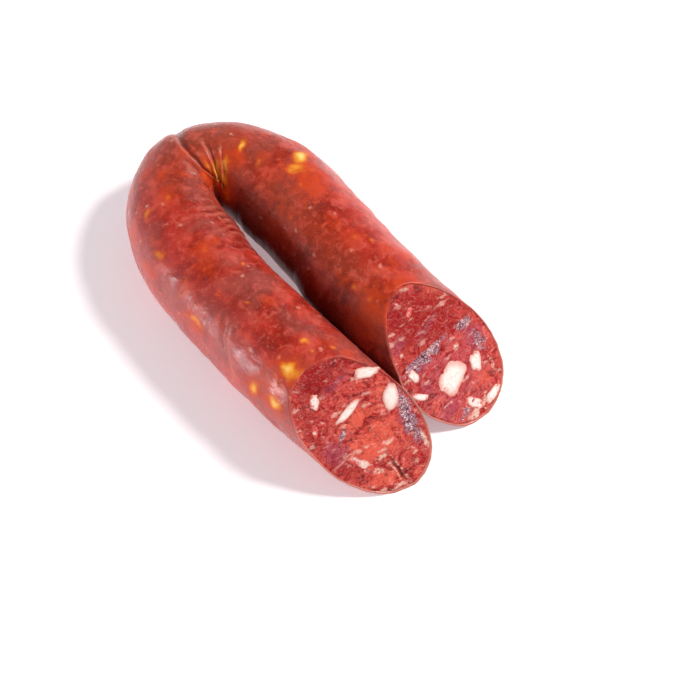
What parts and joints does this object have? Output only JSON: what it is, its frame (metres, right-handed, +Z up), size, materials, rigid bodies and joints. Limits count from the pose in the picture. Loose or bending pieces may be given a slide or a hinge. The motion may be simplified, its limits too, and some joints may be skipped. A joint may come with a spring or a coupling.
{
  "type": "cured sausage",
  "caption": "Dry-cured horseshoe sausage bent back on itself, with both ends sliced off at a slant to show lean meat and lumps of back fat.",
  "frame": {"origin": "on the surface the sausage lies on, under the middle of its bounding box", "axes": "+Z up; +Y from the cut ends towards the bend, along the sausage's length; +X to the right when the cut ends face the viewer"},
  "size_m": [0.0766, 0.1412, 0.0343],
  "materials": {
    "casing": "dried collagen casing over red meat, smooth with a soft gloss and pale lumps of fat showing through",
    "meat": "coarse-cut cured lean meat, dark red to pink, freshly sliced and slightly moist",
    "fat": "firm cured back fat, white to cream, waxy and slightly translucent"
  },
  "bodies": {
    "root": {"casing": "casing", "filling": "meat", "fat_left_1": "fat", "fat_left_2": "fat", "fat_left_3": "fat", "fat_left_4": "fat", "fat_left_5": "fat", "fat_left_6": "fat", "fat_right_1": "fat", "fat_right_2": "fat", "fat_right_3": "fat", "fat_right_4": "fat", "fat_right_5": "fat", "fat_right_6": "fat", "fat_right_top_1": "fat"}
  },
  "joints": []
}
